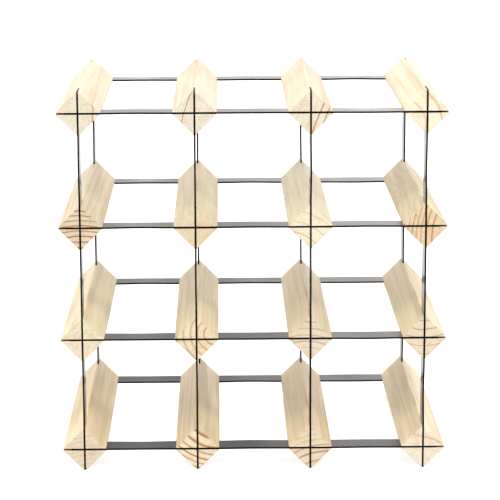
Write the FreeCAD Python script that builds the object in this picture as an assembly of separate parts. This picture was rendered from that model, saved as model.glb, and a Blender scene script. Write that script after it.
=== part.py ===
import FreeCAD, Part
import math
import os

from FreeCAD import Vector

# A wine rack that stands on the floor or on a shelf: sixteen square timber bars, each turned to
# stand on one edge, held in a four by four grid by flat steel strips pressed into saw cuts in
# their ends. A bottle lies on its side between four bars and rests on the horizontal strips.
#
# Millimetres. +X is to the right as seen from the front, the front faces -Y and +Z is up. The
# origin is the middle of the rack's underside. Row 1 is the lowest row and column 1 is at the left.

# Grid
ROWS = 4
COLUMNS = 4
PITCH = 96.0                    # from one bar's middle to the next, across and up

# Timber bars
BAR_SIDE = 27.0                 # sawn square section
BAR_LENGTH = 228.0              # front to back, which is the depth of the rack
ARRIS_FLAT = 1.0                # width of the flat that eases each long edge

# Steel strips, which stand on edge with their width running front to back
STRIP_WIDTH = 20.0
STRIP_THICKNESS = 1.5
RAIL_END_INSET = 7.0            # a rail stops this far inside the outermost timber edge
UPRIGHT_TOP_INSET = 2.5         # an upright stops this far below the top timber edge
UPRIGHT_FOOT_INSET = 0.6        # and this far above what the rack stands on

# Joints
KERF_DEPTH = 21.0               # the saw cuts in a bar's end take a strip's width and a little more
LAP_PLAY = 0.1                  # play on each side of a notch where two strips cross

# Worked out from the dimensions above
BAR_REACH = BAR_SIDE / math.sqrt(2) - ARRIS_FLAT / 2     # from a bar's middle to its eased edge
FRONT = -BAR_LENGTH / 2
BACK = BAR_LENGTH / 2
COLUMN_X = [(column - (COLUMNS - 1) / 2) * PITCH for column in range(COLUMNS)]
ROW_Z = [BAR_REACH + row * PITCH for row in range(ROWS)]
HALF_WIDTH = COLUMN_X[-1] + BAR_REACH                    # the rack reaches this far left and right
HEIGHT = ROW_Z[-1] + BAR_REACH
RAIL_END = HALF_WIDTH - RAIL_END_INSET
UPRIGHT_TOP = HEIGHT - UPRIGHT_TOP_INSET


def block(low, high):
    """A box between two opposite corners."""
    size = high - low
    return Part.makeBox(size.x, size.y, size.z, low)


def bar_blank(x, z):
    """A square bar standing on one edge, with a narrow flat on each of its four long edges."""
    half_flat = ARRIS_FLAT / 2
    outline = []
    for quarter in range(4):
        turn = FreeCAD.Rotation(Vector(0, 1, 0), 90 * quarter)
        for side in (half_flat, -half_flat):
            corner = turn.multVec(Vector(BAR_REACH, 0, side))
            outline.append(corner + Vector(x, FRONT, z))
    outline.append(outline[0])
    face = Part.Face(Part.makePolygon(outline))
    return face.extrude(Vector(0, BAR_LENGTH, 0))


def kerfs(x, z, end):
    """The two crossing saw cuts in one end of a bar, edge to edge through its middle."""
    inner = end - math.copysign(KERF_DEPTH, end)
    y_low = min(end, inner)
    y_high = max(end, inner)
    half_cut = STRIP_THICKNESS / 2
    across = block(Vector(x - BAR_SIDE, y_low, z - half_cut), Vector(x + BAR_SIDE, y_high, z + half_cut))
    upright = block(Vector(x - half_cut, y_low, z - BAR_SIDE), Vector(x + half_cut, y_high, z + BAR_SIDE))
    return [across, upright]


def bar(x, z):
    """One timber bar with the cuts for the strips in both ends."""
    return bar_blank(x, z).cut(kerfs(x, z, FRONT) + kerfs(x, z, BACK))


def strip_span(end):
    """Where a strip set flush in the front or back end begins, ends and has its middle, along Y."""
    inner = end - math.copysign(STRIP_WIDTH, end)
    return min(end, inner), max(end, inner), (end + inner) / 2


def rail(z, end):
    """A horizontal strip, notched halfway in from its outer edge where each upright crosses."""
    y_low, y_high, y_middle = strip_span(end)
    half_thick = STRIP_THICKNESS / 2
    half_notch = half_thick + LAP_PLAY
    strip = block(Vector(-RAIL_END, y_low, z - half_thick), Vector(RAIL_END, y_high, z + half_thick))
    notch_inner = y_middle - math.copysign(LAP_PLAY, end)
    notch_low = min(end, notch_inner)
    notch_high = max(end, notch_inner)
    notches = []
    for x in COLUMN_X:
        low = Vector(x - half_notch, notch_low, z - half_notch)
        notches.append(block(low, Vector(x + half_notch, notch_high, z + half_notch)))
    return strip.cut(notches)


def upright(x, end):
    """A vertical strip, notched halfway in from its inner edge where each rail crosses."""
    y_low, y_high, y_middle = strip_span(end)
    half_thick = STRIP_THICKNESS / 2
    half_notch = half_thick + LAP_PLAY
    foot = Vector(x - half_thick, y_low, UPRIGHT_FOOT_INSET)
    strip = block(foot, Vector(x + half_thick, y_high, UPRIGHT_TOP))
    inner = end - math.copysign(STRIP_WIDTH, end)
    notch_outer = y_middle + math.copysign(LAP_PLAY, end)
    notch_low = min(inner, notch_outer)
    notch_high = max(inner, notch_outer)
    notches = []
    for z in ROW_Z:
        low = Vector(x - half_notch, notch_low, z - half_notch)
        notches.append(block(low, Vector(x + half_notch, notch_high, z + half_notch)))
    return strip.cut(notches)


def save(name, shape):
    """Write one piece to its own file, after checking that it is a single sound solid."""
    if len(shape.Solids) != 1 or not shape.isValid():
        raise ValueError(name + " is not one sound solid")
    shape.Solids[0].exportStep("parts/" + name + ".step")


def build():
    os.makedirs("parts", exist_ok=True)
    for row, z in enumerate(ROW_Z, start=1):
        for column, x in enumerate(COLUMN_X, start=1):
            save(f"bar_row{row}_col{column}", bar(x, z))
    for side, end in (("front", FRONT), ("back", BACK)):
        for row, z in enumerate(ROW_Z, start=1):
            save(f"{side}_rail_row{row}", rail(z, end))
        for column, x in enumerate(COLUMN_X, start=1):
            save(f"{side}_upright_col{column}", upright(x, end))


build()
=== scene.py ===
# %% [markdown]
# # A wine rack of pine bars and black steel strips
#
# Sixteen square pine bars stand on one edge in a four by four grid, front to back. Flat steel
# strips, pressed into saw cuts in the bars' ends, tie them together at the front and at the back.
# The measured model gives every place and size. Here each bar and strip is made again with the
# small things that a measured model leaves out: rounded edges, sawn ends, a slight bow in the
# steel, and the two finishes.

# %% Load the measured model
import math
import random
from dataclasses import dataclass

import bmesh
import bpy
from mathutils import Matrix, Vector


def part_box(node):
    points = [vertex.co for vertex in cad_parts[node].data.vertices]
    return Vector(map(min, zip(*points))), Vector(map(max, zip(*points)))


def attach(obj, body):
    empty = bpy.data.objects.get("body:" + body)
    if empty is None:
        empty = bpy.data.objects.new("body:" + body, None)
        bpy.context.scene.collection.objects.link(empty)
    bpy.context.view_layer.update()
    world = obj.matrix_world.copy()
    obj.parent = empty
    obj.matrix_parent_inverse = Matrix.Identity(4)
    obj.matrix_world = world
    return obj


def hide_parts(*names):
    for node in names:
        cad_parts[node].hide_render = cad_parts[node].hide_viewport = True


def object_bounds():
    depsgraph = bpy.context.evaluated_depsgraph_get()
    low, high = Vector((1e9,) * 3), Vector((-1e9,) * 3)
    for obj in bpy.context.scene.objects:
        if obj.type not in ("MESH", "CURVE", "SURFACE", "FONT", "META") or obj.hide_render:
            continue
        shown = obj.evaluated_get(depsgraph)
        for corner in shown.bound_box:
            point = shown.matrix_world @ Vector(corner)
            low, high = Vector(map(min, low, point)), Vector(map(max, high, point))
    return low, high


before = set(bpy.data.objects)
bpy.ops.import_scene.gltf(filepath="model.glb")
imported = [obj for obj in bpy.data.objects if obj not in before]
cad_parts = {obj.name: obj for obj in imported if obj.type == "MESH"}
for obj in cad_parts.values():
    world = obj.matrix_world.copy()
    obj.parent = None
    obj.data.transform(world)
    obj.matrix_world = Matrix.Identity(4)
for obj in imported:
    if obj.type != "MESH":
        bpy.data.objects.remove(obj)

cad_low, cad_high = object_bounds()
print("measured box in mm:", [round(1000 * size) for size in cad_high - cad_low])

# %% [markdown]
# ## Sizes, read from the measured model
#
# The measured nodes' boxes give the places of bars and strips, so nothing here repeats the rack's
# layout. Only the details that a box can't show are stated: how deep the saw cuts are, how round
# the edges are, and how much play a notch has.

# %% Sizes in metres
MM = 0.001
ROWS = 4
COLUMNS = 4


def middle(node):
    """The middle of a measured node's box."""
    low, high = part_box(node)
    return (low + high) / 2


bar_low, bar_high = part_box("bar_row1_col1")
FRONT = bar_low.y
BACK = bar_high.y
BAR_REACH = (bar_high.x - bar_low.x) / 2
COLUMN_X = [middle(f"bar_row1_col{column}").x for column in range(1, COLUMNS + 1)]
ROW_Z = [middle(f"bar_row{row}_col1").z for row in range(1, ROWS + 1)]

rail_low, rail_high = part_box("front_rail_row1")
STRIP_WIDTH = rail_high.y - rail_low.y
STRIP_THICKNESS = rail_high.z - rail_low.z
KERF_DEPTH = 21 * MM
print("bars at x", [round(x / MM) for x in COLUMN_X], "and z", [round(z / MM) for z in ROW_Z])

# %% [markdown]
# ## The camera
#
# The view is from the front, a little above the top of the rack and looking slightly down, with a
# long lens from almost two metres away. A long lens keeps the far ends of the bars nearly as large
# as the near ones. The camera has hardly any turn or roll. Its place is in metres, and its lens and
# sensor are in millimetres.

# %% Camera
CAMERA_PLACE = Vector((-0.0267, -1.8084, 0.5566))
LOOK_DOWN = math.radians(12.168)
TURN_RIGHT = math.radians(0.811)
ROLL = math.radians(-0.24)
LENS_LENGTH = 149.66
SENSOR_WIDTH = 36

camera = bpy.data.objects.new("camera", bpy.data.cameras.new("camera"))
bpy.context.scene.collection.objects.link(camera)
camera.data.sensor_width = SENSOR_WIDTH
camera.data.lens = LENS_LENGTH
facing = Matrix.Rotation(-TURN_RIGHT, 4, "Z") @ Matrix.Rotation(math.pi / 2 - LOOK_DOWN, 4, "X")
camera.matrix_world = Matrix.Translation(CAMERA_PLACE) @ facing @ Matrix.Rotation(ROLL, 4, "Z")
bpy.context.scene.camera = camera
print("camera lens in mm:", camera.data.lens)

# %% [markdown]
# ## Node trees written as sums
#
# A finish is easier to read as a formula than as a web of nodes. A small class wraps one output
# socket, so that adding or multiplying two of them adds a Math node and gives its output, wrapped
# again. One method makes every other kind of node.

# %% A wrapped socket, and the tree that its nodes go into
class Value:
    """One output socket, which takes part in sums."""

    def __init__(self, tree, socket):
        self.tree = tree
        self.socket = socket

    def __add__(self, other):
        return self.tree.math("ADD", self, other)

    def __sub__(self, other):
        return self.tree.math("SUBTRACT", self, other)

    def __rsub__(self, other):
        return self.tree.math("SUBTRACT", other, self)

    def __mul__(self, other):
        return self.tree.math("MULTIPLY", self, other)

    def __truediv__(self, other):
        return self.tree.math("DIVIDE", self, other)

    __radd__ = __add__
    __rmul__ = __mul__


class Tree:
    """A node tree under construction."""

    def __init__(self, owner):
        owner.use_nodes = True
        self.nodes = owner.node_tree.nodes
        self.links = owner.node_tree.links
        self.nodes.clear()

    def node(self, kind, settings, sockets, output=0):
        """Adds a node with its settings and then its inputs, and returns one wrapped output."""
        node = self.nodes.new(kind)
        for name, value in settings.items():
            setattr(node, name, value)
        for name, value in sockets.items():
            named = (socket for socket in node.inputs if name in (socket.identifier, socket.name))
            socket = next(named)
            if isinstance(value, Value):
                self.links.new(value.socket, socket)
            else:
                socket.default_value = value
        return Value(self, node.outputs[output]) if node.outputs else None

    def math(self, operation, *values):
        """A Math node on numbers or wrapped sockets."""
        sockets = dict(zip(("Value", "Value_001"), values))
        return self.node("ShaderNodeMath", {"operation": operation}, sockets)

    def rise(self, value, start, end):
        """0 before start, 1 after end and a smooth rise between, or a fall if start is larger."""
        return self.node("ShaderNodeMapRange", {"interpolation_type": "SMOOTHSTEP"},
                         {"Value": value, "From Min": start, "From Max": end})

    def mix(self, amount, first, second):
        """A colour between two colours."""
        return self.node("ShaderNodeMix", {"data_type": "RGBA"},
                         {"Factor_Float": amount, "A_Color": first, "B_Color": second}, 2)

    def scaled(self, vector, factors):
        """A vector with each of its parts multiplied."""
        return self.node("ShaderNodeVectorMath", {"operation": "MULTIPLY"},
                         {"Vector": vector, "Vector_001": factors})

    def noise(self, vector, detail=2.0):
        """Soft noise around 0, mostly between -0.3 and 0.3, with one swell per unit of the vector."""
        swells = self.node("ShaderNodeTexNoise", {},
                           {"Vector": vector, "Scale": 1.0, "Detail": detail})
        return swells - 0.5

    def axes(self, vector):
        """The three parts of a vector."""
        first = self.node("ShaderNodeSeparateXYZ", {}, {"Vector": vector})
        return [Value(self, socket) for socket in first.socket.node.outputs]


def color(red, green, blue):
    """A colour as it looks on screen, from 0 to 255, turned into the linear numbers of shaders."""
    linear = [((part / 255 + 0.055) / 1.055) ** 2.4 for part in (red, green, blue)]
    return (*linear, 1.0)


print("mid grey in linear light:", round(color(128, 128, 128)[0], 3))

# %% [markdown]
# ## Studio light
#
# The rack stands in a white studio. Most light falls from a wide bright ceiling, strongest in front
# of the rack, and the bars' upper faces catch it. A softbox stands in front, halfway up to the
# ceiling and a little to the right. Below the top row it reaches only the front third of a bar, and
# the bar above shades the rest, which leaves a soft step along the inner faces. Deep inside the rack
# the light that is left has often touched pine before, so those faces turn darker and more yellow
# by themselves.
#
# Behind the rack the surround is brightest near the horizon: the steel, seen at a flat angle,
# mirrors that and looks grey. A tall soft panel behind the rack, just right of its middle, does the
# same for the lower rails on that side. The walls are brighter on the left, and the backdrop is a
# little warm. The Standard view keeps white white.
#
# All of it but the softbox is painted on the surround, by direction. Each part of a direction runs
# from -1 to 1: rightward, forward (towards the backdrop) and upward. An edge is soft, so it is given
# as the place where it starts and the place where it is complete.

# %% Surround
HORIZON_LIGHT = 1.85
BACK_WALL_LIGHT = 1.1
FRONT_WALL_LIGHT = 1.4
BACK_CEILING_LIGHT = 2.2
FRONT_CEILING_LIGHT = 3.85
OVERHEAD_LIGHT = 2.6
WALL_LEAN = 0.25
PANEL_LIGHT = 1.1
WHITE = (1.0, 1.0, 1.0, 1.0)
BACKDROP_TONE = (1.0, 0.95, 0.93, 1.0)
BACKDROP_EDGE = (-0.5, 0.5)
HORIZON_EDGE = (0.25, 0.1)
CEILING_EDGE = (0.4, 0.7)
OVERHEAD_EDGE = (0.8, 0.93)
PANEL_LEFT_EDGE = (0.01, 0.06)
PANEL_RIGHT_EDGE = (0.4, 0.2)
PANEL_FOOT = (0.13, 0.2)
PANEL_TOP = (0.5, 0.4)

world = bpy.data.worlds.new("white_studio")
bpy.context.scene.world = world
surround = Tree(world)
rightward, forward, upward = surround.axes(surround.node("ShaderNodeTexCoord", {}, {}, "Generated"))
behind_rack = surround.rise(forward, *BACKDROP_EDGE)
horizon = surround.rise(upward, *HORIZON_EDGE)
ceiling = surround.rise(upward, *CEILING_EDGE)
overhead = surround.rise(upward, *OVERHEAD_EDGE)
wall_light = FRONT_WALL_LIGHT + behind_rack * (BACK_WALL_LIGHT - FRONT_WALL_LIGHT)
wall_light = wall_light * (1 - rightward * WALL_LEAN)
ceiling_light = FRONT_CEILING_LIGHT + behind_rack * (BACK_CEILING_LIGHT - FRONT_CEILING_LIGHT)
ceiling_light = ceiling_light + overhead * (OVERHEAD_LIGHT - ceiling_light)
brightness = wall_light + ceiling * (ceiling_light - wall_light)
brightness = brightness * (1 - horizon) + horizon * behind_rack * HORIZON_LIGHT
panel = surround.rise(rightward, *PANEL_LEFT_EDGE) * surround.rise(rightward, *PANEL_RIGHT_EDGE)
panel = panel * surround.rise(upward, *PANEL_FOOT) * surround.rise(upward, *PANEL_TOP)
brightness = brightness + panel * behind_rack * PANEL_LIGHT
tint = surround.mix(behind_rack * (1 - ceiling), WHITE, BACKDROP_TONE)
sky = surround.node("ShaderNodeBackground", {}, {"Color": tint, "Strength": brightness})
surround.node("ShaderNodeOutputWorld", {}, {"Surface": sky})
bpy.context.scene.view_settings.view_transform = "Standard"
print("surround:", len(surround.nodes), "nodes")

# %% Softbox
SOFTBOX_PLACE = Vector((0.22, -2.3, 2.45))
SOFTBOX_SIZE = 0.65
SOFTBOX_WATTS = 82


def softbox(name, place, aim, size, watts):
    """A square area light that faces the point aim."""
    light = bpy.data.lights.new(name, "AREA")
    light.shape = "SQUARE"
    light.size = size
    light.energy = watts
    lamp = bpy.data.objects.new(name, light)
    turn = (aim - place).to_track_quat("-Z", "Y").to_matrix().to_4x4()
    lamp.matrix_world = Matrix.Translation(place) @ turn
    bpy.context.scene.collection.objects.link(lamp)


rack_middle = (cad_low + cad_high) / 2
softbox("front_softbox", SOFTBOX_PLACE, rack_middle, SOFTBOX_SIZE, SOFTBOX_WATTS)

# %% [markdown]
# ## The floor
#
# The rack stands on a sheet of white acrylic that is lit a little from below, which keeps shadows
# faint. It is wide enough to fill the picture from every side, and it has a faint mottle.

# %% Floor
FLOOR_HALF_WIDTH = 15.0
FLOOR_GLOW = 0.8
FLOOR_TONE = (148, 148, 149)
FLOOR_PALE_TONE = (151, 151, 151)
FLOOR_ROUGHNESS = 0.9
FLOOR_SWELLS = (6.0, 6.0, 6.0)

floor_finish = bpy.data.materials.new("lit_acrylic")
paint = Tree(floor_finish)
floor_place = paint.node("ShaderNodeTexCoord", {}, {}, "Object")
mottle = paint.noise(paint.scaled(floor_place, FLOOR_SWELLS)) + 0.5
floor_shade = paint.mix(mottle, color(*FLOOR_TONE), color(*FLOOR_PALE_TONE))
floor_shader = paint.node("ShaderNodeBsdfPrincipled", {},
                          {"Base Color": floor_shade, "Roughness": FLOOR_ROUGHNESS,
                           "Emission Color": WHITE, "Emission Strength": FLOOR_GLOW})
paint.node("ShaderNodeOutputMaterial", {}, {"Surface": floor_shader})

floor_mesh = bmesh.new()
bmesh.ops.create_grid(floor_mesh, x_segments=1, y_segments=1, size=FLOOR_HALF_WIDTH)
floor_data = bpy.data.meshes.new("floor")
floor_mesh.to_mesh(floor_data)
floor_mesh.free()
floor_data.materials.append(floor_finish)
floor = bpy.data.objects.new("floor", floor_data)
bpy.context.scene.collection.objects.link(floor)
print("floor:", len(floor_data.polygons), "face")

# %% [markdown]
# ## How the rings cross a bar's end
#
# A bar is sawn out of a trunk, and its end shows a small window on the trunk's growth rings. Where
# the heart of the trunk, the pith, lies decides everything: near it the rings are tight arcs, far
# from it almost straight lines. So each bar is described by where its pith is and how its rings
# are spaced. The same ring field, cut by the bar's long faces, then gives their streaks for free,
# which a flat wood picture wrapped round the bar never does.
#
# Two bars also have a resin mark: a streak on the left of one, and a pin knot beside the swirl that
# the fibres of another make round it. A mark's middle is given across, along and up the bar.

# %% A bar's grain
@dataclass
class Grain:
    """The growth rings in a bar's front end. Lengths are in mm and are measured from its middle."""
    outward: float              # way from the pith to the bark, in degrees: 0 is right and 90 is up
    pith: float                 # how far the pith is on the other side
    spacing: float              # from one ring to the next
    line: float                 # where one dark ring crosses, measured outward
    strong: tuple               # the stretch, measured outward, where the rings are dark
    depth: float                # how dark they are there, from 0 to 1
    faint: float                # and everywhere else
    tone: tuple                 # the plain wood's colour on screen
    ring: tuple = (120, 66, 26)    # the rings' colour on screen
    band: float = 1.5           # the width of a dark ring
    growth: float = 0.0         # how much closer the rings get, per mm outward
    swirl: tuple = None         # middle of a swelling beside a knot
    marks: tuple = ()           # resin marks: middle and half length of each


ALL = (-30.0, 30.0)
RED_RING = (108, 62, 34)
ORANGE_RING = (124, 72, 8)
PALE_RING = (154, 100, 48)
STREAK_MARK = (-9.0, -98.0, 9.6, 9.0)
PIN_KNOT = (-8.0, -113.0, 8.6, 1.6)
SWIRL = (-3.0, -7.0, 12.0)
GRAIN = {
    (4, 1): Grain(0, 28, 13.0, 11.5, (9, 14), 0.85, 0.05, (169, 163, 148)),
    (4, 2): Grain(162, 110, 2.3, 7.4, (6.6, 8.2), 1.0, 0.2, (171, 167, 154), ring=ORANGE_RING),
    (4, 3): Grain(158, 150, 5.6, -8.0, (-16, -5), 0.9, 0.16, (169, 162, 145), ring=ORANGE_RING),
    (4, 4): Grain(25, 27, 13.2, 8.8, ALL, 0.65, 0.1, (177, 172, 154), ring=PALE_RING, band=2.0),
    (3, 1): Grain(90, 58, 4.1, 5.4, ALL, 1.0, 0.1, (163, 151, 130), ring=RED_RING, growth=0.005),
    (3, 2): Grain(45, 60, 3.0, 1.0, ALL, 0.1, 0.1, (167, 155, 131)),
    (3, 3): Grain(62, 45, 9.4, 8.6, ALL, 0.6, 0.1, (175, 169, 150), ring=PALE_RING),
    (3, 4): Grain(170, 80, 4.1, 2.2, (-10, 20), 0.85, 0.25, (167, 153, 127), ring=ORANGE_RING,
                  growth=0.012, swirl=SWIRL, marks=(PIN_KNOT,)),
    (2, 1): Grain(150, 70, 5.0, -9.0, ALL, 0.14, 0.1, (174, 167, 148), marks=(STREAK_MARK,)),
    (2, 2): Grain(195, 17, 5.9, -2.1, (-9, 30), 0.65, 0.15, (173, 161, 137), band=2.2),
    (2, 3): Grain(86, 45, 5.5, 7.6, (-4, 20), 0.65, 0.3, (168, 157, 139)),
    (2, 4): Grain(270, 50, 7.2, -1.3, ALL, 0.75, 0.1, (171, 161, 142), band=1.3),
    (1, 1): Grain(100, 70, 4.0, 2.0, ALL, 0.18, 0.1, (169, 159, 140)),
    (1, 2): Grain(244, 44, 5.5, 0.7, ALL, 1.0, 0.1, (178, 169, 147), ring=ORANGE_RING, band=2.2,
                  growth=0.016),
    (1, 3): Grain(104, 55, 5.4, -0.2, (-30, 3), 0.85, 0.4, (172, 160, 139), growth=0.012),
    (1, 4): Grain(72, 120, 9.0, 8.0, (5, 11), 0.8, 0.12, (177, 171, 156), ring=PALE_RING, band=1.8),
}
print("bars with their own grain:", len(GRAIN))

# %% [markdown]
# ## Planed pine: the rings
#
# Each ring is pale wood from spring that darkens to a thin brown line from late summer and then
# stops short, because winter ends it. So the field is a distance from the pith, cut into rings,
# with a line that rises slowly and stops fast. The pith never runs quite true to the bar, the rings
# drift and ripple a little, and no line is as dark as the next. A swirl is a bell-shaped rise in the
# distance. Lengths in the field are in millimetres, and swells are per metre across, along and up.

# %% The ring field
TILT = 0.012                    # how far the pith leaves the bar's line, per mm along it
DRIFT = 2.2                     # slow wandering of the rings
DRIFT_SWELLS = (60.0, 6.0, 60.0)
RIPPLE = 0.5                    # and quick
RIPPLE_SWELLS = (260.0, 15.0, 260.0)
LINE_STOP = 0.3                 # a line stops over this share of the width in which it rises
STRETCH_FADE_IN = 0.5           # a dark stretch begins over these two lengths
STRETCH_FADE_OUT = 1.0
LEAST_SHARE = 0.7               # each line has its own share of the depth, from here
SHARE_SPREAD = 0.4              # to this much more
SWIRL_SIZE = (14.0, 42.0, 14.0)
SWIRL_RISE = 15.0               # how far a swirl lifts the field at its middle


def swelling(tree, place, centre, spot, size):
    """1 at a spot in the bar, falling to 0 around it like a bell. Spot and size are in mm."""
    middle_of_it = centre + Vector(spot) * MM
    away = tree.node("ShaderNodeMapping", {"vector_type": "TEXTURE"},
                     {"Vector": place, "Location": middle_of_it, "Scale": Vector(size) * MM})
    distance = tree.node("ShaderNodeVectorMath", {"operation": "LENGTH"}, {"Vector": away}, "Value")
    return tree.math("EXPONENT", 0 - distance * distance)


def ring_lines(tree, place, centre, grain):
    """How dark the growth rings are at a place in the bar, from 0 to 1."""
    turn = (0.0, math.radians(-grain.outward), 0.0)
    turned = tree.node("ShaderNodeMapping", {"vector_type": "TEXTURE"},
                       {"Vector": place, "Location": centre, "Rotation": turn, "Scale": (MM, MM, MM)})
    outward, along, across = tree.axes(turned)
    drift = tree.noise(tree.scaled(place, DRIFT_SWELLS))
    ripple = tree.noise(tree.scaled(place, RIPPLE_SWELLS))
    from_pith = outward + grain.pith + along * TILT + drift * DRIFT + ripple * RIPPLE
    if grain.swirl:
        bell = swelling(tree, place, centre, grain.swirl, SWIRL_SIZE)
        from_pith = from_pith + bell * SWIRL_RISE
    radius = tree.math("SQRT", from_pith * from_pith + across * across)
    outside = radius - (grain.pith + grain.line)
    ring = outside / grain.spacing * (1 + outside * grain.growth)
    phase = tree.math("FRACT", ring + 0.5) - 0.5
    width = grain.band / grain.spacing
    line = tree.rise(phase, -width, 0.0) * tree.rise(phase, width * LINE_STOP, 0.0)
    start, end = grain.strong
    from_middle = outside + grain.line
    begun = tree.rise(from_middle, start - STRETCH_FADE_OUT, start + STRETCH_FADE_IN)
    strong = begun * tree.rise(from_middle, end + STRETCH_FADE_OUT, end - STRETCH_FADE_IN)
    own_number = 100 * grain.tone[2] / grain.spacing
    each = tree.node("ShaderNodeTexWhiteNoise", {"noise_dimensions": "1D"},
                     {"W": tree.math("FLOOR", ring + 0.5) + own_number})
    depth = grain.faint + strong * (grain.depth - grain.faint)
    return line * depth * (LEAST_SHARE + each * SHARE_SPREAD)


run_out = TILT * (BACK - FRONT) / MM
print("the pith runs out of line with the bar by", round(run_out, 1), "mm over its length")

# %% [markdown]
# ## Planed pine: the finish
#
# The end of a bar shows the lines strongly and the long faces softly. Between them the wood runs from
# a plain tone to a tanned one, in long streaks on the planed faces and in specks and grit on the
# ends. The saw cuts are browner, partly where the blade rubbed and scorched them and partly as a
# painted shade in the narrow slots. The tone differs a little from row to row: the lower bars are
# redder and the top ones paler, a painted shade of the yellower light deep in the rack on top of the
# timber's own differences. Bump adds what light needs to catch: fibres along the long faces and the
# marks of the saw on the ends.

# %% The finish
# long-face tones by row, lowest first: the redder lower rows are partly a painted shade
ROW_TONES_WITH_SHADE = {1: (199, 171, 118), 2: (193, 171, 120), 3: (187, 171, 129), 4: (184, 164, 130)}
PLANED_TAN = (0.9, 0.87, 0.81)  # what tanning leaves of red, green and blue
SAWN_TAN = (0.92, 0.86, 0.77)
PLANED_RING = (142, 112, 72)
RESIN_TONE = (99, 61, 38)
RESIN_SIZE = 0.9
# the saw cuts' brown: the blade's scorch and a painted shade of the deep slot
SCORCH_AND_SHADE_TONE = (113, 69, 38)

FIBRE_SWELLS = (900.0, 12.0, 900.0)
STREAK_SWELLS = (135.0, 7.0, 135.0)
CLOUD_SWELLS = (35.0, 14.0, 35.0)
PORE_SWELLS = (1400.0, 60.0, 1400.0)
GRIT_SWELLS = (620.0, 80.0, 620.0)
SAW_SWELLS = (140.0, 40.0, 1100.0)

TANNED_SHARE = 0.3              # how tanned the wood is before streaks and grit are added
PLANED_STREAKS = 4.4
END_STREAKS = 1.6
END_GRIT = 1.8
PLANED_LINES = 0.48             # ring lines on the long faces, where those on the ends count 1
FIBRE_TAN = 0.5
LEAST_FIBRE_TAN = 0.1
SPECK_EDGE = (0.12, 0.3)
SPECK_DEPTH = 0.35
RESIN_EDGE = (0.3, 0.7)
RESIN_DEPTH = 0.8
SCORCH_AND_SHADE_DEPTH = 0.75

PINE_ROUGHNESS = 0.45
FIBRE_DULLNESS = 0.2
END_DULLNESS = 0.2
PINE_IOR = 1.45
FIBRE_HEIGHT = 0.5
RING_DIP = 0.25
PINE_RELIEF = 0.12 * MM
BUMP_STRENGTH = 0.8


def darker(tone, shares):
    """A tone with each of its parts brought down to a share."""
    return color(*[part * share for part, share in zip(tone, shares)])


def pine(name, centre, grain, row_tone_with_shade):
    """Planed pine with one bar's own rings and tone, and its row's tone, which holds a painted shade."""
    material = bpy.data.materials.new(name)
    tree = Tree(material)
    place = tree.node("ShaderNodeTexCoord", {}, {}, "Object")
    end_grain = tree.node("ShaderNodeAttribute", {"attribute_name": "end_grain"}, {}, "Fac")
    kerf = tree.node("ShaderNodeAttribute", {"attribute_name": "kerf"}, {}, "Fac")
    rings = ring_lines(tree, place, centre, grain)

    fibre = tree.noise(tree.scaled(place, FIBRE_SWELLS), 3.0)
    streak = tree.noise(tree.scaled(place, STREAK_SWELLS), 3.0)
    cloud = tree.noise(tree.scaled(place, CLOUD_SWELLS))
    pore = tree.noise(tree.scaled(place, PORE_SWELLS), 1.0)
    speck = tree.rise(pore, *SPECK_EDGE) * end_grain
    grit = tree.noise(tree.scaled(place, GRIT_SWELLS), 1.0) * end_grain

    # half of the long faces' tone comes from the row, which paints the yellower shade deep in the rack
    planed_tone_with_shade = [(shared + own) / 2 for shared, own in zip(row_tone_with_shade, grain.tone)]
    plain = tree.mix(end_grain, color(*planed_tone_with_shade), color(*grain.tone))
    tanned = tree.mix(end_grain, darker(planed_tone_with_shade, PLANED_TAN), darker(grain.tone, SAWN_TAN))
    streaks = streak * (PLANED_STREAKS - end_grain * (PLANED_STREAKS - END_STREAKS))
    wood = tree.mix(TANNED_SHARE + (streaks + cloud + grit * END_GRIT), plain, tanned)
    wood = tree.mix(fibre * FIBRE_TAN + LEAST_FIBRE_TAN, wood, tanned)
    late_wood = tree.mix(end_grain, color(*PLANED_RING), color(*grain.ring))
    wood = tree.mix(rings * (PLANED_LINES + end_grain * (1 - PLANED_LINES)), wood, late_wood)
    wood = tree.mix(speck * SPECK_DEPTH, wood, color(*grain.ring))
    for *spot, half_length in grain.marks:
        mark = swelling(tree, place, centre, spot, (RESIN_SIZE, half_length, RESIN_SIZE))
        wood = tree.mix(tree.rise(mark, *RESIN_EDGE) * RESIN_DEPTH, wood, color(*RESIN_TONE))
    # Inside the saw cuts: the blade's scorch and a painted shade of the deep slot.
    wood = tree.mix(kerf * SCORCH_AND_SHADE_DEPTH, wood, color(*SCORCH_AND_SHADE_TONE))

    rubbed = PINE_ROUGHNESS + fibre * FIBRE_DULLNESS + end_grain * END_DULLNESS
    saw = tree.noise(tree.scaled(place, SAW_SWELLS), 1.0)
    height = fibre * (1 - end_grain) * FIBRE_HEIGHT + (saw + pore) * end_grain - rings * RING_DIP
    bump = tree.node("ShaderNodeBump", {},
                     {"Height": height, "Distance": PINE_RELIEF, "Strength": BUMP_STRENGTH})
    shader = tree.node("ShaderNodeBsdfPrincipled", {},
                       {"Base Color": wood, "Roughness": rubbed, "Normal": bump, "IOR": PINE_IOR})
    tree.node("ShaderNodeOutputMaterial", {}, {"Surface": shader})
    return material


print("planed tones by row:", ROW_TONES_WITH_SHADE)

# %% [markdown]
# ## A pine bar
#
# A real bar is planed square, its long edges are eased, and two crossing saw cuts are made in each
# end. The model follows that, but adds where the saw takes away, because that needs no boolean:
# the body between the cuts is a stretched cube with its long edges bevelled, turned to stand on
# one edge. Four planes mark the cuts on its end faces, and the four quarters left between them are
# extruded outward into prongs. Two numbers stored on the faces, end_grain and kerf, later tell the
# finish which is which.

# %% Modelling helpers
X_AXIS = Vector((1, 0, 0))
Y_AXIS = Vector((0, 1, 0))
Z_AXIS = Vector((0, 0, 1))


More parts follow.
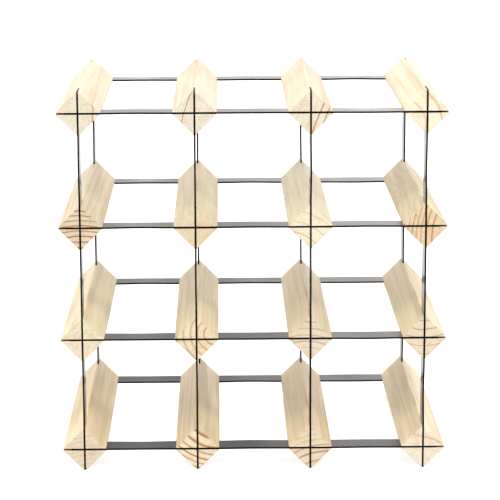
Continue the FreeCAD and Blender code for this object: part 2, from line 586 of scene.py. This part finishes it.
def everything(mesh):
    """A mesh's corners, edges and faces in one list, as a cut by a plane needs them."""
    return mesh.verts[:] + mesh.edges[:] + mesh.faces[:]


def slice_at(mesh, axis, places):
    """Cuts edges and faces by planes across an axis, and takes nothing away."""
    for place in places:
        bmesh.ops.bisect_plane(mesh, geom=everything(mesh), plane_co=axis * place, plane_no=axis)


def piece(name, mesh, material, node):
    """A finished piece that rides on the rack and stands for one measured node."""
    open_edges = sum(not edge.is_manifold for edge in mesh.edges)
    if open_edges or mesh.calc_volume(signed=True) <= 0:
        raise ValueError(f"{name} isn't a closed shape that faces outward")
    data = bpy.data.meshes.new(name)
    mesh.to_mesh(data)
    mesh.free()
    data.materials.append(material)
    thing = bpy.data.objects.new(name, data)
    bpy.context.scene.collection.objects.link(thing)
    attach(thing, "root")
    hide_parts(node)
    return thing


print("cuts go across", [tuple(axis) for axis in (X_AXIS, Y_AXIS, Z_AXIS)])

# %% The bar's body
ARRIS_RADIUS = 1.2 * MM
HALF_KERF = STRIP_THICKNESS / 2
BAR_SIDE = (BAR_REACH + ARRIS_RADIUS * (math.sqrt(2) - 1)) * math.sqrt(2)
BODY_LENGTH = BACK - FRONT - 2 * KERF_DEPTH
ARRIS_STEPS = 4


def bar_body():
    """The bar between its saw cuts, on one edge, with its long edges rounded."""
    mesh = bmesh.new()
    bmesh.ops.create_cube(mesh, size=1)
    bmesh.ops.scale(mesh, vec=(BAR_SIDE, BODY_LENGTH, BAR_SIDE), verts=mesh.verts)
    long_edges = [edge for edge in mesh.edges if edge.calc_length() > 2 * BAR_SIDE]
    bmesh.ops.bevel(mesh, geom=long_edges, affect="EDGES", offset=ARRIS_RADIUS,
                    segments=ARRIS_STEPS, profile=0.5, material=-1)
    bmesh.ops.rotate(mesh, matrix=Matrix.Rotation(math.pi / 4, 3, "Y"), verts=mesh.verts)
    return mesh


print("sawn square, in mm:", round(BAR_SIDE / MM, 2), "and", round(BODY_LENGTH / MM), "between the cuts")

# %% The sawn ends
END_EASING = 0.15 * MM
LONGEST_TRIM = 0.25 * MM
ALONG = 0.9                     # a face whose normal has this much along the bar is on an end
FLAT = 0.01                     # play for a normal that should point exactly some way


def beside_kerfs(face):
    """Whether a face is clear of both saw cuts."""
    centre = face.calc_center_median()
    return min(abs(centre.x), abs(centre.z)) > HALF_KERF


def add_prongs(mesh, end, trim):
    """Extrudes the quarters of one end face past the saw cuts, and eases the sawn edges."""
    quarters = [face for face in mesh.faces if face.normal.y * end > ALONG and beside_kerfs(face)]
    tips = bmesh.ops.extrude_discrete_faces(mesh, faces=quarters)["faces"]
    corners = {corner for face in tips for corner in face.verts}
    bmesh.ops.translate(mesh, vec=Y_AXIS * end * (KERF_DEPTH - trim), verts=list(corners))
    rim = {edge for face in tips for edge in face.edges}
    bmesh.ops.bevel(mesh, geom=list(rim), affect="EDGES", offset=END_EASING, segments=1,
                    profile=0.5, material=-1)


def mark_faces(mesh):
    """Stores what each face is, and shades only the rounded long edges smooth."""
    end_layer = mesh.faces.layers.float.new("end_grain")
    kerf_layer = mesh.faces.layers.float.new("kerf")
    mesh.normal_update()
    for face in mesh.faces:
        normal = face.normal
        across = abs(normal.y) > 0.5
        in_kerf = not beside_kerfs(face) if across else max(abs(normal.x), abs(normal.z)) > 1 - FLAT
        near_middle = face.calc_center_median().xz.length < BAR_REACH - 3 * HALF_KERF
        face[end_layer] = float(across)
        # faces inside a saw cut, which the finish browns with scorch and a painted shade
        face[kerf_layer] = float(in_kerf and near_middle)
        planed = abs(abs(normal.x) - abs(normal.z)) < FLAT
        face.smooth = not (across or planed or face[kerf_layer])


print("prongs are cut short by up to", LONGEST_TRIM / MM, "mm")

# %% Sixteen bars
SEED = 16


def pine_bar(row, column, draw):
    """One bar, in its place."""
    node = f"bar_row{row}_col{column}"
    mesh = bar_body()
    slice_at(mesh, X_AXIS, (-HALF_KERF, HALF_KERF))
    slice_at(mesh, Z_AXIS, (-HALF_KERF, HALF_KERF))
    for end in (-1, 1):
        add_prongs(mesh, end, draw.uniform(0.0, LONGEST_TRIM))
    mark_faces(mesh)
    bmesh.ops.translate(mesh, vec=middle(node), verts=mesh.verts)
    material = pine(f"pine_row{row}_col{column}", middle(node), GRAIN[row, column],
                    ROW_TONES_WITH_SHADE[row])
    return piece(f"pine_{node}", mesh, material, node)


draw = random.Random(SEED)
bars = [pine_bar(row, column, draw)
        for row in range(1, ROWS + 1) for column in range(1, COLUMNS + 1)]
print("bars:", len(bars), "with", len(bars[0].data.polygons), "faces each")

# %% [markdown]
# ## Satin black steel
#
# The strips are coated black. Seen straight on the coat is nearly black, but at a flat angle it
# mirrors the bright backdrop, so the strips' upper faces look grey. That change with angle comes
# from the coat's index of refraction, so nothing has to be painted grey. The narrow cut edges took
# up the coat dull: they mirror almost nothing and draw black lines across the pine. A fine orange
# peel, a roughness that varies, and spots rubbed bare on the edges keep it from looking like
# plastic film.

# %% The coat
COAT_TONE = (3, 3, 3)
COAT_WORN_TONE = (9, 8, 7)
BARE_STEEL_TONE = (60, 55, 52)
SMEAR_SWELLS = (45.0, 45.0, 45.0)
PEEL_SWELLS = (900.0, 900.0, 900.0)
SCUFF_SWELLS = (420.0, 420.0, 420.0)
SCUFF_EDGE = (0.1, 0.3)
RUBBED_SHARE = 0.2
COAT_ROUGHNESS = 0.19
SMEAR_DULLNESS = 0.12
RUBBED_DULLNESS = 0.2
EDGE_DULLNESS = 0.2
COAT_IOR = 1.22
EDGE_IOR = 1.1
PEEL_RELIEF = 0.02 * MM
PEEL_STRENGTH = 0.5


def satin_black():
    """Black coated steel."""
    material = bpy.data.materials.new("satin_black_steel")
    tree = Tree(material)
    place = tree.node("ShaderNodeTexCoord", {}, {}, "Object")
    edge = tree.node("ShaderNodeAttribute", {"attribute_name": "edge"}, {}, "Fac")
    smear = tree.noise(tree.scaled(place, SMEAR_SWELLS), 3.0)
    peel = tree.noise(tree.scaled(place, PEEL_SWELLS), 1.0)
    scuff = tree.noise(tree.scaled(place, SCUFF_SWELLS), 4.0)
    rubbed = edge * tree.rise(scuff, *SCUFF_EDGE)
    coat = tree.mix(0.5 + smear, color(*COAT_TONE), color(*COAT_WORN_TONE))
    coat = tree.mix(rubbed * RUBBED_SHARE, coat, color(*BARE_STEEL_TONE))
    roughness = COAT_ROUGHNESS + smear * SMEAR_DULLNESS + rubbed * RUBBED_DULLNESS
    bump = tree.node("ShaderNodeBump", {},
                     {"Height": peel, "Distance": PEEL_RELIEF, "Strength": PEEL_STRENGTH})
    broad = tree.node("ShaderNodeBsdfPrincipled", {},
                      {"Base Color": coat, "Roughness": roughness, "Normal": bump,
                       "IOR": COAT_IOR})
    narrow = tree.node("ShaderNodeBsdfPrincipled", {},
                       {"Base Color": coat, "Roughness": roughness + EDGE_DULLNESS,
                        "Normal": bump, "IOR": EDGE_IOR})
    shader = tree.node("ShaderNodeMixShader", {},
                       {"Fac": edge, "Shader": broad, "Shader_001": narrow})
    tree.node("ShaderNodeOutputMaterial", {}, {"Surface": shader})
    return material


black_steel = satin_black()
print("coat:", black_steel.name)

# %% [markdown]
# ## A steel strip
#
# Rails lie flat and run across, uprights run up. Both are the same flat bar with a notch, half its
# width deep, wherever another strip crosses: the rails are notched from the outside and the
# uprights from the inside, and they slot into each other inside the pine. A flat sheet is sliced
# along the notches' outlines, the notch cells are deleted, and the sheet gets its thickness. Then
# its edges are softened, and the free lengths between the bars get a bow that is hardly visible,
# as thin bar from a coil always has. A number stored on the faces, edge, tells the coat which ones
# are narrow.

# %% A sheet with its notches
LAP_PLAY = 0.1 * MM
HALF_NOTCH = STRIP_THICKNESS / 2 + LAP_PLAY


def notched_sheet(start, end, crossings, outside):
    """A strip along X without thickness, its outer edge at y = 0 and its notches on one edge."""
    mesh = bmesh.new()
    bmesh.ops.create_grid(mesh, x_segments=1, y_segments=1, size=0.5)
    bmesh.ops.scale(mesh, vec=(end - start, STRIP_WIDTH, 1), verts=mesh.verts)
    bmesh.ops.translate(mesh, vec=((start + end) / 2, STRIP_WIDTH / 2, 0), verts=mesh.verts)
    notch_end = STRIP_WIDTH / 2 + (LAP_PLAY if outside else -LAP_PLAY)
    slice_at(mesh, X_AXIS, [place + side * HALF_NOTCH for place in crossings for side in (-1, 1)])
    slice_at(mesh, Y_AXIS, [notch_end])
    notches = []
    for face in mesh.faces:
        centre = face.calc_center_median()
        at_crossing = min(abs(centre.x - place) for place in crossings) < HALF_NOTCH
        if at_crossing and (centre.y < notch_end) == outside:
            notches.append(face)
    bmesh.ops.delete(mesh, geom=notches, context="FACES")
    return mesh


print("a notch is", round(2 * HALF_NOTCH / MM, 2), "mm wide")

# %% A slight bow
BOW_STEP = 8 * MM
LARGEST_BOW = 0.3 * MM
LARGEST_TWIST = 0.4 * MM


def bow(mesh, crossings, draw):
    """Bends and twists the free lengths between bars. What the pine holds stays straight."""
    for left, right in zip(crossings, crossings[1:]):
        lift = draw.uniform(-LARGEST_BOW, LARGEST_BOW)
        twist = draw.uniform(-LARGEST_TWIST, LARGEST_TWIST)
        start = left + BAR_REACH
        length = right - BAR_REACH - start
        for corner in mesh.verts:
            share = (corner.co.x - start) / length
            if 0 < share < 1:
                swell = math.sin(math.pi * share) ** 2
                corner.co.z += swell * (lift + twist * (corner.co.y / STRIP_WIDTH - 0.5))


print("a strip is bent every", round(BOW_STEP / MM), "mm")

# %% Sixteen strips
EDGE_RADIUS = 0.08 * MM
EDGE_STEPS = 2
SHARP_ANGLE = 1.0               # in radians


def steel_strip(node, crossings, is_upright, is_back, draw):
    """One strip, in its place."""
    low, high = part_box(node)
    start, end = (low.z, high.z) if is_upright else (low.x, high.x)
    mesh = notched_sheet(start, end, crossings, outside=not is_upright)
    steps = range(1, int((end - start) / BOW_STEP))
    slice_at(mesh, X_AXIS, [start + step * BOW_STEP for step in steps])
    bmesh.ops.solidify(mesh, geom=mesh.faces[:], thickness=STRIP_THICKNESS)
    bmesh.ops.recalc_face_normals(mesh, faces=mesh.faces)
    height = [corner.co.z for corner in mesh.verts]
    bmesh.ops.translate(mesh, vec=-Z_AXIS * (min(height) + max(height)) / 2, verts=mesh.verts)
    edge_layer = mesh.faces.layers.float.new("edge")
    for face in mesh.faces:
        face[edge_layer] = float(abs(face.normal.z) < 0.5)
    sharp = [edge for edge in mesh.edges if edge.calc_face_angle(0.0) > SHARP_ANGLE]
    softened = bmesh.ops.bevel(mesh, geom=sharp, affect="EDGES", offset=EDGE_RADIUS,
                               segments=EDGE_STEPS, profile=0.5, material=-1)
    for face in softened["faces"]:
        face[edge_layer] = 1.0
    bow(mesh, crossings, draw)
    if is_back:
        bmesh.ops.rotate(mesh, matrix=Matrix.Rotation(math.pi, 3, "X"), verts=mesh.verts)
    if is_upright:
        bmesh.ops.rotate(mesh, matrix=Matrix.Rotation(-math.pi / 2, 3, "Y"), verts=mesh.verts)
    centre = middle(node)
    place = Vector((centre.x, 0, 0)) if is_upright else Vector((0, 0, centre.z))
    place.y = BACK if is_back else FRONT
    bmesh.ops.translate(mesh, vec=place, verts=mesh.verts)
    return piece(f"steel_{node}", mesh, black_steel, node)


strips = []
for side in ("front", "back"):
    for row in range(1, ROWS + 1):
        strips.append(steel_strip(f"{side}_rail_row{row}", COLUMN_X, False, side == "back", draw))
    for column in range(1, COLUMNS + 1):
        strips.append(steel_strip(f"{side}_upright_col{column}", ROW_Z, True, side == "back", draw))
print("strips:", len(strips), "with", len(strips[0].data.polygons), "faces in a rail")
